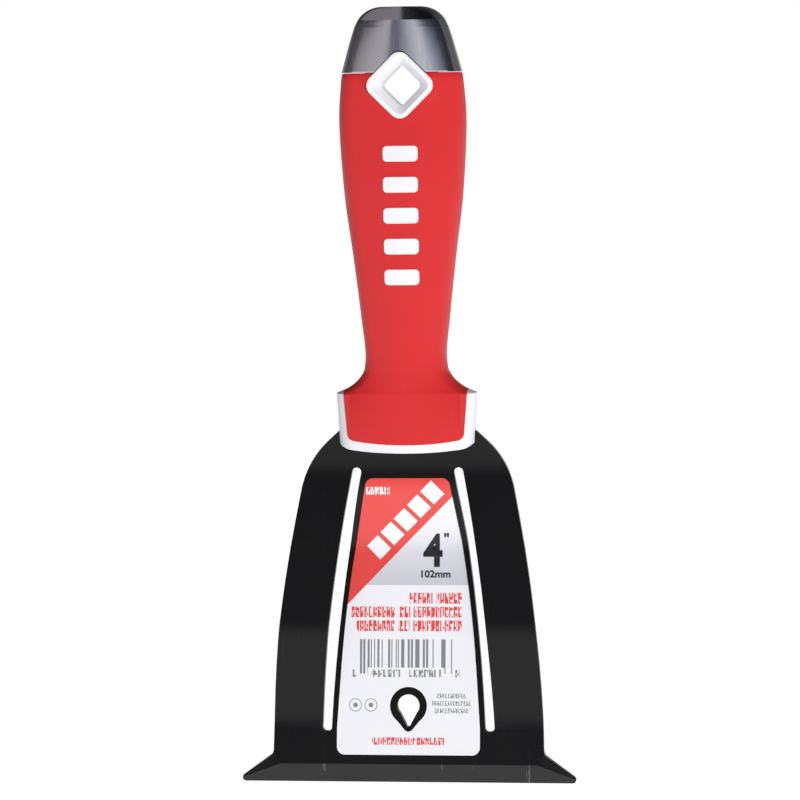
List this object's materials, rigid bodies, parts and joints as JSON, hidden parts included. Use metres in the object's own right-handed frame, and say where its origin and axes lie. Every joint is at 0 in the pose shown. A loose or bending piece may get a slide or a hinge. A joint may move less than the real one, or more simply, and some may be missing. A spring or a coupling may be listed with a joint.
{
  "type": "trim puller",
  "caption": "Rigid trim puller with a wide bevelled steel blade, two relief slots, a nail slot, a soft moulded handle, a steel strike cap and a hang hole.",
  "frame": {"origin": "centre of the hang hole, on the mid-plane of the tang", "axes": "+Z along the handle towards the strike cap, -Y out of the front face with the label and the ground bevel, +X to the right"},
  "size_m": [0.1014, 0.0222, 0.2329],
  "materials": {
    "blade_coat": "black dipped coating, satin; ground steel on the bevel",
    "white_nylon": "fine moulded",
    "red_grip": "soft touch, fine grain",
    "cap_steel": "polished with faint grinding lines",
    "label_paper": "printed paper under a clear film",
    "rivet_steel": "plain"
  },
  "bodies": {
    "root": {"blade": "blade_coat", "core_front": "white_nylon", "core_rear": "white_nylon", "hang_bush": "white_nylon", "grip": "red_grip", "strike_cap": "cap_steel", "label": "label_paper", "tang_rivet_upper": "rivet_steel", "tang_rivet_middle": "rivet_steel", "tang_rivet_lower": "rivet_steel"}
  },
  "joints": []
}
